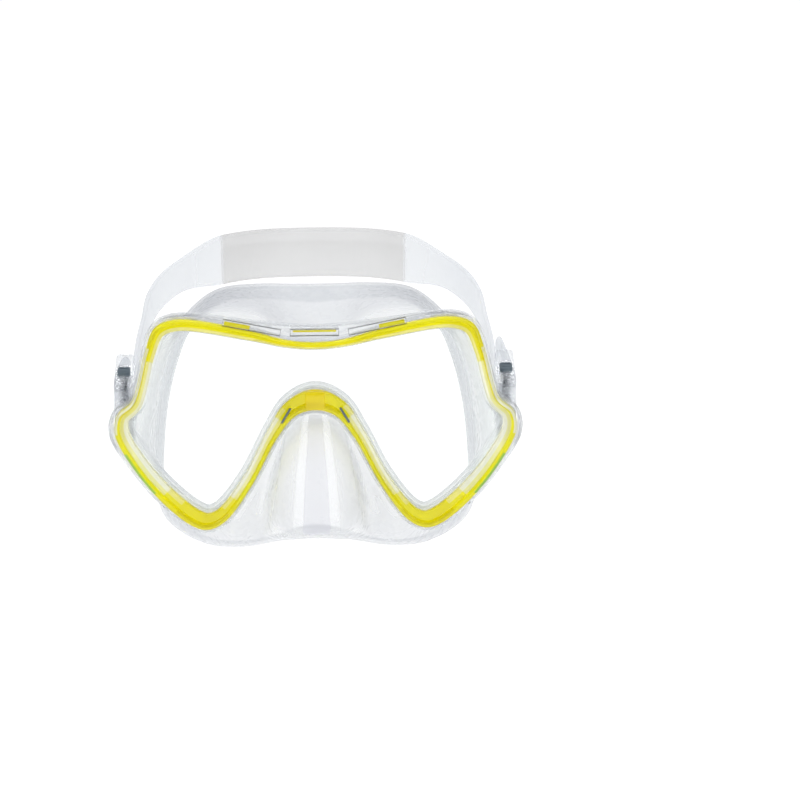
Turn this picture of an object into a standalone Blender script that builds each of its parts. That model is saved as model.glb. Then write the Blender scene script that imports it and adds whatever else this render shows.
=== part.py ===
"""Snorkelling mask: one-piece lens, silicone skirt with nose pocket, snap-in lens ring, swivel buckles, strap.

The mask stands upright as worn. +X is the wearer's left, +Y points at the wearer's face, +Z is up, and the
origin is the centre of the skirt's face opening. The design is in millimetres in the lens's own frame:
x sideways, depth back from the lens's front face, z up from the lens's centre. place() turns that into metres.
"""
import math

import bmesh
import bpy
from mathutils import Matrix, Vector

MM = 0.001
LENS_FRONT = -55.0  # y of the lens's front face
LENS_CENTRE = 7.0  # z of the lens's centre
GAP = 0.3  # clearance between touching pieces
SIDES = {"left": 1, "right": -1}

# Half outline of the lens ring's outer edge, from the top middle round to the middle of the nose arch:
# x, z, width of the ring inwards, margin of the clear frame outwards.
OUTLINE = (
    (0, 34.6, 2.9, 6.8),
    (12, 35.7, 3.0, 6.2),
    (27, 39.8, 4.0, 3.8),
    (57, 44.8, 4.8, 1.6),
    (66.0, 41.5, 5.0, 1.8),
    (70.3, 31.5, 4.5, 1.7),
    (74.0, 17.0, 4.5, 1.5),
    (76.5, 10.2, 4.8, 1.6),
    (82.5, 4.7, 5.5, 2.3),
    (83.6, -3.5, 6.0, 2.4),
    (76.0, -18.3, 6.5, 1.6),
    (63.5, -33.7, 7.0, 1.4),
    (52.0, -43.0, 7.2, 1.3),
    (45.6, -44.7, 7.0, 1.3),
    (38.3, -41.3, 6.0, 1.3),
    (26.9, -26.0, 5.0, 1.3),
    (15.8, -5.5, 5.2, 1.3),
    (8.0, 3.7, 7.0, 1.3),
    (0, 6.0, 8.6, 1.3),
)
# The fold where the skirt meets the face, in x and z, at the same stations as OUTLINE.
SEAL = (
    (0, 51.0), (11, 51.0), (22, 50.8), (41, 47.5), (52, 39.5), (60, 29.0), (64.5, 17.5), (67, 9.0), (69, 0.0),
    (70.5, -9.0), (72.0, -27.0), (72.0, -44.0), (68.5, -57.0), (60, -63.5), (47, -66.0), (33, -65.5),
    (21, -62.5), (10, -59.0), (0, -57.5),
)
# The nose pocket, as x, depth, z of three rings of points from the frame down to the lip: the last five stations.
POCKET = (
    ((35.0, 15.0, -48.0), (35.0, 21.0, -53.5), (36.5, 32.0, -60.0)),
    ((23.0, 14.0, -34.0), (23.5, 16.0, -43.0), (24.5, 25.0, -53.0)),
    ((14.0, 8.0, -14.0), (17.0, 4.0, -28.0), (18.0, 6.0, -44.0)),
    ((6.5, 5.0, -7.0), (9.0, -3.5, -24.0), (10.5, -6.0, -43.0)),
    ((0.0, 5.0, -6.0), (0.0, -5.0, -24.0), (0.0, -8.0, -43.0)),
)
# Shape of the skirt's wall from the frame back to the seal: share of the depth, and share of the way in x and z
# where the seal lies outside the frame's opening and where it lies well inside it.
WALL_SHAPE = ((0.08, 0.10, 0.72), (0.30, 0.26, 0.92), (0.58, 0.52, 0.95), (0.84, 0.80, 0.98))
POCKET_START = len(OUTLINE) - len(POCKET)
SPAN_STEPS = 2  # points on the outline from one station to the next
WALL_STEPS = 2  # rings of the skirt from one station ring to the next

LENS_THICKNESS = 3.8
LENS_INSET = 1.8  # lens edge inside the ring's outer edge
RING_FRONT = -4.0
RING_CHAMFER = 1.2
RING_SLOPE = 0.5  # fall of the ring's face towards the lens
FRAME_FRONT = -3.5
FRAME_FIT = 0.35  # clearance between frame and ring
FRAME_CHAMFER = 1.0
FLANGE_LAP = 0.8  # frame's flange outside the ring's inner edge
FLANGE_DEPTH = 7.5  # front of the frame's rear flange
FRAME_DEPTH = 10.0  # back of the frame
SKIRT_LIP = 1.5  # lip of silicone round the lens's edge
SKIRT_WALL = 1.8
WALL_INSET = 0.5  # wall outside the ring's inner edge
WALL_START = FRAME_DEPTH + 1.0
SEAL_WALL = 1.0
OPENING_INSET = 1.3  # skirt opening inside the ring's inner edge
SEAL_DEPTH = 43.0  # lens front to the seal at the upper lip
SEAL_SWEEP = 32.0  # how much further back the seal lies at the temples
TEMPLE_X = 66.0
BROW_LEAN, BROW_Z = 5.0, 50.0  # how much further back the seal lies at the brow, and its height there
SEAL_MIDDLE_Z = -7.0
SEAL_HALF_X = 72.0
SEAL_ROLL = (2.0, 1.5)  # first turn of the lip inside the fold: inwards, back
POCKET_TURN = (3.6, 2.4)  # first turn of the pocket's wall behind the frame: outwards, back
TUCK_WIDTH = 8.0  # how far the wall starts outside its seal where it tucks in fully
SEAL_LIP, SEAL_LIP_SIDE = 8.0, 5.0  # width of the turned-in sealing lip at the middle and at the temples

# Buckle, in its own axes: x out from its roller, y back from its pivot, z up from the strap's middle.
BUCKLE_X = 80.8
PIVOT_DEPTH = 17.0
PIVOT_Z = -0.5
STRAP_RISE = math.radians(21.5)
EAR_THICKNESS = 3.0
EAR_HEIGHT = 7.0
EAR_ROOT = 1.5  # how far the ear reaches into the frame
PIVOT_RADIUS = 1.5
PIN_SHORT = 0.2  # pivot pin inside the buckle's side faces
FORK_GAP = 1.2  # extra room above and below the ear
BODY_HALF_X = 4.0
BODY_BEVEL = 1.0
BODY_FRONT, BODY_BACK = -3.0, 27.5
WINDOW_FRONT, WINDOW_HALF_Z = 6.5, 9.2
BODY_HALF_Z = 15.5
FORK_HALF_Z, RAIL_FRONT = 8.5, 3.5
ROLLER_Y, ROLLER_RADIUS, ROLLER_PIN = 13.0, 2.2, 1.0
ROLLER_CHAMFER = 0.4
RUNNING_FIT = 0.1
PIN_HOLE, PIN_REACH = 1.2, 0.9  # depth of the pins' holes in the rails, and how far the pins fill them
PAWL_Y, PAWL_PIN = 19.5, 0.8
PAWL_PROFILE = ((-1.3, 1.5), (1.0, 1.5), (2.0, -1.2), (1.1, -2.4), (-0.3, -1.6), (-1.3, -0.5))
BUTTON_SIZE = (5.4, 5.0, 3.2)
BUTTON_BEVEL = 0.7
BUTTON_TOP = 17.2
BUTTON_Y = 12.0
POCKET_FLOOR = 10.8
SPRING_RADIUS, SPRING_WIRE, SPRING_TURNS = 1.7, 0.22, 3
SPRING_PLAY = 0.2
SPRING_SIDES, WIRE_SIDES = 10, 5

# Strap: a flat band that turns round both rollers and loops behind the head.
BAND_THICKNESS, PAD_THICKNESS = 2.0, 2.8
BAND_HALF_Z, PAD_HALF_Z = 8.5, 12.8
LOOP_BACK = 138.0  # back of the loop behind the pivot, along the strap
CORNER_START = 68.0  # where the loop starts to curve in
CORNER_POWER = (0.72, 0.85)  # how square the loop's corners are, across and back
TEMPLE_DRAW = 2.0  # how far the loop draws in before its corners
TURN_STEPS = 6
STRAP_CHAMFER = 0.7
PAD_HALF_X = 42.0
PAD_FADE = 1.5  # share of the pad's half length over which the strap narrows to its band
TAIL_TAPER = 0.75
TAIL_END = {"left": (79.9, 52.0), "right": (80.6, 39.0)}


def place(x, depth, z):
    """A point of the lens's frame, in metres in the part's frame."""
    return Vector((x, LENS_FRONT + depth, LENS_CENTRE + z)) * MM


def material(name, colour, roughness, transmission=0.0):
    found = bpy.data.materials.get(name)
    if found:
        return found
    made = bpy.data.materials.new(name)
    made.use_nodes = True
    shader = made.node_tree.nodes["Principled BSDF"]
    shader.inputs["Base Color"].default_value = (*colour, 1)
    shader.inputs["Roughness"].default_value = roughness
    shader.inputs["Metallic"].default_value = 1.0 if name == "steel" else 0.0
    shader.inputs["Transmission Weight"].default_value = transmission
    return made


def clear_plastic():
    return material("clear_plastic", (0.95, 0.97, 0.98), 0.05, 0.9)


def yellow_plastic():
    return material("yellow_plastic", (0.85, 0.78, 0.02), 0.1, 0.4)


def grey_plastic():
    return material("grey_plastic", (0.12, 0.15, 0.18), 0.35)


def silicone():
    return material("silicone", (0.85, 0.87, 0.88), 0.35, 0.5)


def steel():
    return material("steel", (0.6, 0.6, 0.62), 0.25)


def new_object(name, rows, faces, finish, frame=place):
    """One closed object from points in millimetres."""
    mesh = bpy.data.meshes.new(name)
    mesh.from_pydata([frame(*p) for p in rows], [], faces)
    work = bmesh.new()
    work.from_mesh(mesh)
    bmesh.ops.recalc_face_normals(work, faces=work.faces)
    if work.calc_volume(signed=True) < 0:
        bmesh.ops.reverse_faces(work, faces=work.faces)
    work.to_mesh(mesh)
    work.free()
    mesh.materials.append(finish)
    mesh.shade_smooth()
    mesh.set_sharp_from_angle(angle=math.radians(35))
    made = bpy.data.objects.new(name, mesh)
    bpy.context.scene.collection.objects.link(made)
    return made


def mirrored(half):
    """The whole closed loop of a half list whose first and last rows lie on the middle plane."""
    other = [(-row[0], *row[1:]) for row in half[-2:0:-1]]
    return list(half) + other


def spline(rows, steps, closed=True):
    """A centripetal Catmull-Rom curve through rows of numbers, steps points to a span."""
    vectors = [Vector(row) for row in rows]
    count = len(vectors)
    spans = count if closed else count - 1
    made = []
    for i in range(spans):
        if closed:
            a, b, c, d = (vectors[(i + k) % count] for k in (-1, 0, 1, 2))
        else:
            b, c = vectors[i], vectors[i + 1]
            a = vectors[i - 1] if i else b * 2 - c
            d = vectors[i + 2] if i + 2 < count else c * 2 - b
        t1 = math.sqrt((b - a).length) or 1.0
        t2 = t1 + (math.sqrt((c - b).length) or 1.0)
        t3 = t2 + (math.sqrt((d - c).length) or 1.0)
        for k in range(steps):
            t = t1 + (t2 - t1) * k / steps
            p = a.lerp(b, t / t1)
            q = b.lerp(c, (t - t1) / (t2 - t1))
            r = c.lerp(d, (t - t2) / (t3 - t2))
            s = p + (q - p) * (t / t2)
            u = q + (r - q) * ((t - t1) / (t3 - t1))
            made.append(s + (u - s) * ((t - t1) / (t2 - t1)))
    if not closed:
        made.append(vectors[-1])
    return made


def outward(loop):
    """Unit normals in the x-z plane of a closed loop that runs clockwise seen from the front."""
    count = len(loop)
    made = []
    for i in range(count):
        before, after = loop[i - 1], loop[(i + 1) % count]
        across = Vector((-(after[1] - before[1]), after[0] - before[0])).normalized()
        made.append(across)
    return made


def outline(steps=SPAN_STEPS):
    """Points of the ring's outer edge: x, z, ring width, frame margin, normal x, normal z."""
    loop = spline([Vector(row) for row in mirrored(OUTLINE)], steps)
    return [(p[0], p[1], p[2], p[3], n.x, n.y) for p, n in zip(loop, outward(loop))]


def offset(point, distance):
    """x and z at a distance outwards from an outline point."""
    x, z, _width, _margin, nx, nz = point
    return x + nx * distance, z + nz * distance


def loft(rings, closed=True):
    """Points and faces of a tube through rings of equal length, closed on itself or capped at its ends."""
    count, depth = len(rings[0]), len(rings)
    points = [p for ring in rings for p in ring]
    faces = []
    for r in range(depth if closed else depth - 1):
        low, high = r * count, (r + 1) % depth * count
        for i in range(count):
            j = (i + 1) % count
            faces.append((low + i, low + j, high + j, high + i))
    if not closed:
        faces.append(tuple(range(count)))
        faces.append(tuple(range(len(points) - count, len(points))))
    return points, faces


def section_ring(name, section, finish):
    """A ring that follows the outline. section(point) gives (distance outwards, depth) corners."""
    loop = outline()
    corners = [section(point) for point in loop]
    rings = []
    for k in range(len(corners[0])):
        ring = []
        for point, corner in zip(loop, corners):
            x, z = offset(point, corner[k][0])
            ring.append((x, corner[k][1], z))
        rings.append(ring)
    return new_object(name, *loft(rings), finish)


def make_lens():
    rings = []
    for depth in (0.0, LENS_THICKNESS):
        ring = []
        for point in outline():
            x, z = offset(point, -LENS_INSET)
            ring.append((x, depth, z))
        rings.append(ring)
    return new_object("lens", *loft(rings, closed=False), clear_plastic())


def ring_section(point):
    width = point[2]
    return (
        (0, -GAP),
        (0, RING_FRONT + RING_CHAMFER),
        (-1.0, RING_FRONT),
        (RING_CHAMFER - width, RING_FRONT + RING_SLOPE),
        (-width, -GAP),
    )


def frame_section(point):
    width, margin = point[2], point[3]
    inner = FLANGE_LAP - width
    return (
        (FRAME_FIT, FRAME_FRONT),
        (margin, FRAME_FRONT + FRAME_CHAMFER),
        (max(margin - 0.8, 1.2), FRAME_DEPTH - FRAME_CHAMFER),
        (max(margin - 1.4, 0.8), FRAME_DEPTH),
        (inner, FRAME_DEPTH),
        (inner, FLANGE_DEPTH),
        (FRAME_FIT, FLANGE_DEPTH),
    )


def cut(body, cutter, operation="DIFFERENCE"):
    """Applies one Boolean to body and takes the other object away."""
    step = body.modifiers.new(operation.lower(), "BOOLEAN")
    step.operation = operation
    step.solver = "EXACT"
    step.object = cutter
    view = bpy.context.evaluated_depsgraph_get()
    mesh = bpy.data.meshes.new_from_object(body.evaluated_get(view), depsgraph=view)
    body.modifiers.clear()
    body.data = mesh
    bpy.data.objects.remove(cutter)
    return body


def buckle_frame(side):
    """The frame function of one buckle: its own millimetres to metres, tilted about the pivot."""
    turn = Matrix.Rotation(STRAP_RISE, 3, "X")

    def to_part(x, y, z):
        tilted = turn @ Vector((0, y, z))
        return place(side * (BUCKLE_X + x), PIVOT_DEPTH + tilted.y, PIVOT_Z + tilted.z)

    return to_part


def box(name, low, high, finish, frame=place, bevel=0.0):
    """A block between two corners, its edges bevelled in millimetres."""
    (x0, y0, z0), (x1, y1, z1) = low, high
    work = bmesh.new()
    bmesh.ops.create_cube(work, size=1)
    for v in work.verts:
        v.co = Vector(((x0, x1)[v.co.x > 0], (y0, y1)[v.co.y > 0], (z0, z1)[v.co.z > 0]))
    if bevel:
        bmesh.ops.bevel(work, geom=work.edges[:], offset=bevel, segments=1, affect="EDGES")
    work.verts.index_update()
    points = [tuple(v.co) for v in work.verts]
    faces = [tuple(v.index for v in f.verts) for f in work.faces]
    work.free()
    return new_object(name, points, faces, finish, frame)


def turned(name, axis, centre, profile, finish, frame=place, sides=16):
    """A body turned about the x or z axis through centre. profile holds (position, radius) pairs."""
    rings = []
    for along, radius in profile:
        ring = []
        for k in range(sides):
            angle = math.tau * k / sides
            a, b = radius * math.cos(angle), radius * math.sin(angle)
            shift = (along, a, b) if axis == "x" else (a, b, along)
            ring.append(tuple(c + s for c, s in zip(centre, shift)))
        rings.append(ring)
    return new_object(name, *loft(rings, closed=False), finish, frame)


def make_front_frame():
    """The clear frame, with an ear behind each wing for the buckle's pivot."""
    body = section_ring("front_frame", frame_section, clear_plastic())
    for side in SIDES.values():
        half = EAR_THICKNESS / 2
        ends = sorted((side * (BUCKLE_X - half), side * (BUCKLE_X + half)))
        low = (ends[0], FRAME_DEPTH - EAR_ROOT, PIVOT_Z - EAR_HEIGHT / 2)
        high = (ends[1], PIVOT_DEPTH + EAR_HEIGHT / 2, PIVOT_Z + EAR_HEIGHT / 2)
        cut(body, box("ear", low, high, clear_plastic()), "UNION")
        bore = ((-half - 1, PIVOT_RADIUS + GAP), (half + 1, PIVOT_RADIUS + GAP))
        middle = (side * BUCKLE_X, PIVOT_DEPTH, PIVOT_Z)
        cut(body, turned("bore", "x", middle, bore, clear_plastic()))
    return body


def seal_depth(x, z):
    """Depth of the wearer's face where the seal touches it."""
    return SEAL_DEPTH + SEAL_SWEEP * (x / TEMPLE_X) ** 2 + BROW_LEAN * (max(z, 0.0) / BROW_Z) ** 2


def wall_stations():
    """Rings of stations of the skirt's outer surface, from the frame back to the edge of the sealing lip."""
    loop = spline([Vector(row) for row in mirrored(OUTLINE)], 1)
    normals = outward(loop)
    columns = []
    for i in range(len(OUTLINE)):
        point = (*loop[i], *normals[i])
        x, z = offset(point, WALL_INSET - OUTLINE[i][2])
        fold_x, fold_z = SEAL[i]
        start = Vector((x, WALL_START, z))
        fold = Vector((fold_x, seal_depth(fold_x, fold_z), fold_z))
        if i >= POCKET_START:
            tx, tz = offset(point, POCKET_TURN[0])
            turn = Vector((tx, FRAME_DEPTH + POCKET_TURN[1], tz))
            middle = [turn] + [Vector(p) for p in POCKET[i - POCKET_START]]
        else:
            tuck = max(0.0, min(1.0, (x - fold_x) / TUCK_WIDTH))
            middle = []
            for back, even, tucked in WALL_SHAPE:
                step = start.lerp(fold, even + (tucked - even) * tuck)
                step.y = start.y + (fold.y - start.y) * back
                middle.append(step)
        inwards = Vector((-fold_x, 0, SEAL_MIDDLE_Z - fold_z)).normalized()
        lip = fold + inwards * (SEAL_LIP + (SEAL_LIP_SIDE - SEAL_LIP) * fold_x / SEAL_HALF_X)
        lip.y = seal_depth(lip.x, lip.z) + SEAL_WALL
        back = fold + inwards * SEAL_ROLL[0]
        back.y = fold.y + SEAL_ROLL[1]
        columns.append([Vector((x, FLANGE_DEPTH - GAP, z)), start, *middle, fold, back, lip])
    return [mirrored([tuple(column[k]) for column in columns]) for k in range(len(columns[0]))]


def skirt_surface():
    """Rings of points of the skirt's outer surface."""
    rings = [spline(ring, SPAN_STEPS) for ring in wall_stations()]
    for i, point in enumerate(outline()):
        x, z = offset(point, WALL_INSET - point[2])
        rings[0][i] = Vector((x, FLANGE_DEPTH - GAP, z))
        rings[1][i] = Vector((x, WALL_START, z))
    columns = [spline([ring[i] for ring in rings], WALL_STEPS, closed=False) for i in range(len(rings[0]))]
    return [[column[k] for column in columns] for k in range(len(columns[0]))]


def surface_normals(rings):
    """Normals of a surface of rings, pointing out of the mask."""
    count, depth = len(rings[0]), len(rings)
    made = []
    for r in range(depth):
        row = []
        for i in range(count):
            around = rings[r][(i + 1) % count] - rings[r][i - 1]
            along = rings[min(r + 1, depth - 1)][i] - rings[max(r - 1, 0)][i]
            row.append(around.cross(along).normalized())
        made.append(row)
    return made


def make_skirt():
    """The silicone skirt: lens seat, walls, nose pocket and turned-in seal, as one skin of even thickness."""
    outer = skirt_surface()
    normals = surface_normals(outer)
    last = len(outer) - 1
    inner = []
    for r, (ring, across) in enumerate(zip(outer, normals)):
        wall = SKIRT_WALL + (SEAL_WALL - SKIRT_WALL) * r / last
        inner.append([p - n * wall for p, n in zip(ring, across)])
    loop = outline()
    seat = []
    for out, depth in (
        (lambda w: -w - OPENING_INSET, LENS_THICKNESS + GAP),
        (lambda w: -SKIRT_LIP, LENS_THICKNESS + GAP),
        (lambda w: -SKIRT_LIP, 0.0),
        (lambda w: 0.0, 0.0),
        (lambda w: 0.0, FLANGE_DEPTH - GAP),
    ):
        ring = []
        for point in loop:
            x, z = offset(point, out(point[2]))
            ring.append((x, depth, z))
        seat.append(ring)
    rings = seat + [[tuple(p) for p in ring] for ring in outer + inner[:0:-1]]
    return new_object("skirt", *loft(rings), silicone())


def make_pivot_pin(side_name, side):
    middle = (side * BUCKLE_X, PIVOT_DEPTH, PIVOT_Z)
    reach = BODY_HALF_X - PIN_SHORT
    shape = ((-reach, PIVOT_RADIUS), (reach, PIVOT_RADIUS))
    return turned(f"pivot_pin_{side_name}", "x", middle, shape, steel())


def make_buckle(side_name, side):
    """Clear buckle body: a window for the strap between two rails, each rail with a pocket for a button."""
    frame = buckle_frame(side)
    clear = clear_plastic()
    wide = BODY_HALF_X
    low, high = (-wide, BODY_FRONT, -BODY_HALF_Z), (wide, BODY_BACK, BODY_HALF_Z)
    body = box(f"buckle_body_{side_name}", low, high, clear, frame, BODY_BEVEL)
    reach = wide + 1
    cut(body, box("window", (-reach, WINDOW_FRONT, -WINDOW_HALF_Z), (reach, BODY_BACK + 1, WINDOW_HALF_Z), clear,
        frame))
    slot_x = EAR_THICKNESS / 2 + GAP
    slot_y = math.hypot(EAR_HEIGHT / 2, EAR_HEIGHT / 2) + GAP
    slot_z = slot_y + FORK_GAP
    cut(body, box("slot", (-slot_x, BODY_FRONT - 1, -slot_z), (slot_x, slot_y, slot_z), clear, frame))
    for end in (1, -1):
        z0, z1 = sorted((end * FORK_HALF_Z, end * (BODY_HALF_Z + 1)))
        cut(body, box("relief", (-reach, BODY_FRONT - 1, z0), (reach, RAIL_FRONT, z1), clear, frame))
    cut(body, turned("bore", "x", (0, 0, 0), ((-reach, PIVOT_RADIUS + GAP), (reach, PIVOT_RADIUS + GAP)), clear,
        frame))
    for y, radius in ((ROLLER_Y, ROLLER_PIN), (PAWL_Y, PAWL_PIN)):
        deep = WINDOW_HALF_Z + PIN_HOLE
        cut(body, turned("hole", "z", (0, y, 0), ((-deep, radius + GAP), (deep, radius + GAP)), clear, frame))
    half_x, half_y = BUTTON_SIZE[0] / 2 + GAP, BUTTON_SIZE[1] / 2 + GAP
    for end in (1, -1):
        z0, z1 = sorted((end * POCKET_FLOOR, end * (BODY_HALF_Z + 1)))
        cut(body, box("pocket", (-half_x, BUTTON_Y - half_y, z0), (half_x, BUTTON_Y + half_y, z1), clear, frame))
    return body


def make_buttons(side_name, side):
    """Two grey release buttons, pressed towards each other, each on a coil spring."""
    frame = buckle_frame(side)
    half_x, half_y, height = BUTTON_SIZE[0] / 2, BUTTON_SIZE[1] / 2, BUTTON_SIZE[2]
    for word, end in (("upper", 1), ("lower", -1)):
        z0, z1 = sorted((end * (BUTTON_TOP - height), end * BUTTON_TOP))
        box(f"button_{word}_{side_name}", (-half_x, BUTTON_Y - half_y, z0), (half_x, BUTTON_Y + half_y, z1),
            grey_plastic(), frame, BUTTON_BEVEL)
        bottom = POCKET_FLOOR + SPRING_PLAY + SPRING_WIRE
        top = BUTTON_TOP - height - SPRING_PLAY - SPRING_WIRE
        make_spring(f"button_spring_{word}_{side_name}", end, bottom, top, frame)


def make_spring(name, end, bottom, top, frame):
    """A coil spring along z under a button, from bottom to top of its wire's middle."""
    steps = SPRING_SIDES * SPRING_TURNS
    rings = []
    for k in range(steps + 1):
        angle = math.tau * SPRING_TURNS * k / steps
        height = end * (bottom + (top - bottom) * k / steps)
        ring = []
        for j in range(WIRE_SIDES):
            turn = math.tau * j / WIRE_SIDES
            radius = SPRING_RADIUS + SPRING_WIRE * math.cos(turn)
            ring.append((radius * math.cos(angle), BUTTON_Y + radius * math.sin(angle),
                         height + SPRING_WIRE * math.sin(turn)))
        rings.append(ring)
    return new_object(name, *loft(rings, closed=False), steel(), frame)


def make_roller(side_name, side):
    """The roller that the strap turns round, on its steel pin."""
    frame = buckle_frame(side)
    reach = WINDOW_HALF_Z - GAP
    rim = ROLLER_RADIUS - ROLLER_CHAMFER
    shape = (
        (-reach, rim),
        (ROLLER_CHAMFER - reach, ROLLER_RADIUS),
        (reach - ROLLER_CHAMFER, ROLLER_RADIUS),
        (reach, rim),
    )
    centre = (0, ROLLER_Y, 0)
    roller = turned(f"strap_roller_{side_name}", "z", centre, shape, clear_plastic(), frame)
    bore = ROLLER_PIN + RUNNING_FIT
    cut(roller, turned("bore", "z", centre, ((-reach - 1, bore), (reach + 1, bore)), clear_plastic(), frame))
    end = WINDOW_HALF_Z + PIN_REACH
    turned(f"roller_pin_{side_name}", "z", centre, ((-end, ROLLER_PIN), (end, ROLLER_PIN)), steel(), frame)


def make_pawl(side_name, side):
    """The toothed pawl between the strap's two runs, with its stub axles in one piece."""
    frame = buckle_frame(side)
    reach = WINDOW_HALF_Z - GAP
    rings = [[(x, PAWL_Y + y, z) for x, y in PAWL_PROFILE] for z in (-reach, reach)]
    pawl = new_object(f"strap_pawl_{side_name}", *loft(rings, closed=False), clear_plastic(), frame)
    end = WINDOW_HALF_Z + PIN_REACH
    axle = turned("axle", "z", (0, PAWL_Y, 0), ((-end, PAWL_PIN), (end, PAWL_PIN)), clear_plastic(), frame, 12)
    return cut(pawl, axle, "UNION")


def strap_route():
    """The strap's centreline in a buckle's x and y, from the left tail round the head to the right tail."""
    wrap = ROLLER_RADIUS + GAP + BAND_THICKNESS / 2
    outside, inside = BUCKLE_X + wrap, BUCKLE_X - wrap
    tail = [(outside - 1.0, ROLLER_Y + 17), (outside, ROLLER_Y + 8), (outside, ROLLER_Y)]
    turn = []
    for k in range(1, TURN_STEPS):
        angle = math.pi * k / TURN_STEPS
        turn.append((BUCKLE_X + wrap * math.cos(angle), ROLLER_Y - wrap * math.sin(angle)))
    wide, reach = inside - TEMPLE_DRAW, LOOP_BACK - CORNER_START
    run = [(inside, ROLLER_Y), (inside, ROLLER_Y + 14), (inside - 0.5, ROLLER_Y + 36), (wide, CORNER_START)]
    corner = []
    for k in range(1, TURN_STEPS):
        angle = math.pi / 2 * k / TURN_STEPS
        corner.append((wide * math.cos(angle) ** CORNER_POWER[0],
                       CORNER_START + reach * math.sin(angle) ** CORNER_POWER[1]))
    half = turn + run + corner
    left, right = [TAIL_END["left"], *tail], [TAIL_END["right"], *tail]
    return left + half + [(0.0, LOOP_BACK)] + [(-x, y) for x, y in half[::-1] + right[::-1]]


def strap_section(thick, half):
    """Corners of the strap's section, from half its thickness and half its height."""
    flat = thick * 0.4
    edge = half - STRAP_CHAMFER
    return (
        (thick, edge), (flat, half), (-flat, half), (-thick, edge),
        (-thick, -edge), (-flat, -half), (flat, -half), (thick, -edge),
    )


def make_strap():
    """The strap: a band that thickens and widens into the pad at the back of the head."""
    path = spline([(x, y, 0.0) for x, y in strap_route()], 2, closed=False)
    last = len(path) - 1
    rings = []
    for i, p in enumerate(path):
        along = path[min(i + 1, last)] - path[max(i - 1, 0)]
        across = Vector((-along.y, along.x)).normalized()
        near = abs(p.x) / PAD_HALF_X if p.y > CORNER_START else PAD_FADE + 1
        blend = max(0.0, min(1.0, (PAD_FADE - near) / (PAD_FADE - 1)))
        half = BAND_HALF_Z + (PAD_HALF_Z - BAND_HALF_Z) * blend
        if i in (0, last):
            half *= TAIL_TAPER
        thick = (PAD_THICKNESS if near < 1.0 else BAND_THICKNESS) / 2
        corners = strap_section(thick, half)
        rings.append([(p.x + across.x * t - BUCKLE_X, p.y + across.y * t, z) for t, z in corners])
    return new_object("strap", *loft(rings, closed=False), silicone(), buckle_frame(1))


def clear_scene():
    for found in list(bpy.data.objects):
        bpy.data.objects.remove(found)


def main():
    clear_scene()
    make_lens()
    section_ring("retaining_ring", ring_section, yellow_plastic())
    make_front_frame()
    make_skirt()
    for side_name, side in SIDES.items():
        make_pivot_pin(side_name, side)
        make_buckle(side_name, side)
        make_buttons(side_name, side)
        make_roller(side_name, side)
        make_pawl(side_name, side)
    make_strap()


main()
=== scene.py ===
"""Looks of the snorkelling mask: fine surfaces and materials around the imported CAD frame.

The design is in millimetres in the lens's own frame, as in the CAD: x sideways, depth back from the
lens's front face, z up from the lens's centre. place() turns that into metres in the row's frame.
"""
import math

import bmesh
import bpy
from mathutils import Matrix, Vector


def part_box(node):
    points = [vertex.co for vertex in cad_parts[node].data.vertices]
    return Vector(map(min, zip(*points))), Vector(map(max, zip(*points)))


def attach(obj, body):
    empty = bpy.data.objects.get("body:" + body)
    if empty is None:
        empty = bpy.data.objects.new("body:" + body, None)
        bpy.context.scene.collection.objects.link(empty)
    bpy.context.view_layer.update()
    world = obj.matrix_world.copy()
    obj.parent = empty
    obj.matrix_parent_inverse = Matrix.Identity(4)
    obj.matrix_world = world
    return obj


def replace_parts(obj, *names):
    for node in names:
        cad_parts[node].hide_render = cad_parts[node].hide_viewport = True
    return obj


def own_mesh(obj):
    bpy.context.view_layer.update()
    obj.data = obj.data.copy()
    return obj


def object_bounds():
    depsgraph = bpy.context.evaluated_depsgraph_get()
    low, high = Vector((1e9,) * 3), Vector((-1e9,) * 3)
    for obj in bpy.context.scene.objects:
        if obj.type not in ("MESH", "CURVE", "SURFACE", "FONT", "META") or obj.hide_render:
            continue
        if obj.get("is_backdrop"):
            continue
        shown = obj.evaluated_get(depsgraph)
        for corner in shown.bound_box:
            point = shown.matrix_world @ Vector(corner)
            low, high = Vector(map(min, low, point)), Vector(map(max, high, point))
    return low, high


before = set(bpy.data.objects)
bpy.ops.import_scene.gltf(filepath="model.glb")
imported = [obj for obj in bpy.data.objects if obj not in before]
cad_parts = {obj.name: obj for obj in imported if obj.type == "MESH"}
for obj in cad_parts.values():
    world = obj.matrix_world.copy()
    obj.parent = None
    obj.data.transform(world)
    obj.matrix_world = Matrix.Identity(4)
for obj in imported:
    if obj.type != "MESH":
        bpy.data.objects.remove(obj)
cad_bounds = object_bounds()

MM = 0.001
LENS_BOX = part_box("lens")
LENS_FRONT = LENS_BOX[0][1] / MM
LENS_CENTRE = 7.0  # height of the lens's centre in the row's frame
GAP = 0.3
SIDES = {"left": 1, "right": -1}

# Half outline of the lens ring's outer edge, from the top middle round to the middle of the nose arch:
# x, z, width of the ring inwards, margin of the clear frame outwards.
OUTLINE = (
    (0, 34.6, 2.9, 6.8),
    (12, 35.7, 3.0, 6.2),
    (27, 39.8, 4.0, 3.8),
    (57, 44.8, 4.8, 1.6),
    (66.0, 41.5, 5.0, 1.8),
    (70.3, 31.5, 4.5, 1.7),
    (74.0, 17.0, 4.5, 1.5),
    (76.5, 10.2, 4.8, 1.6),
    (82.5, 4.7, 5.5, 2.3),
    (83.6, -3.5, 6.0, 2.4),
    (76.0, -18.3, 6.5, 1.6),
    (63.5, -33.7, 7.0, 1.4),
    (52.0, -43.0, 7.2, 1.3),
    (45.6, -44.7, 7.0, 1.3),
    (38.3, -41.3, 6.0, 1.3),
    (26.9, -26.0, 5.0, 1.3),
    (15.8, -5.5, 5.2, 1.3),
    (8.0, 3.7, 7.0, 1.3),
    (0, 6.0, 8.6, 1.3),
)
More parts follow.
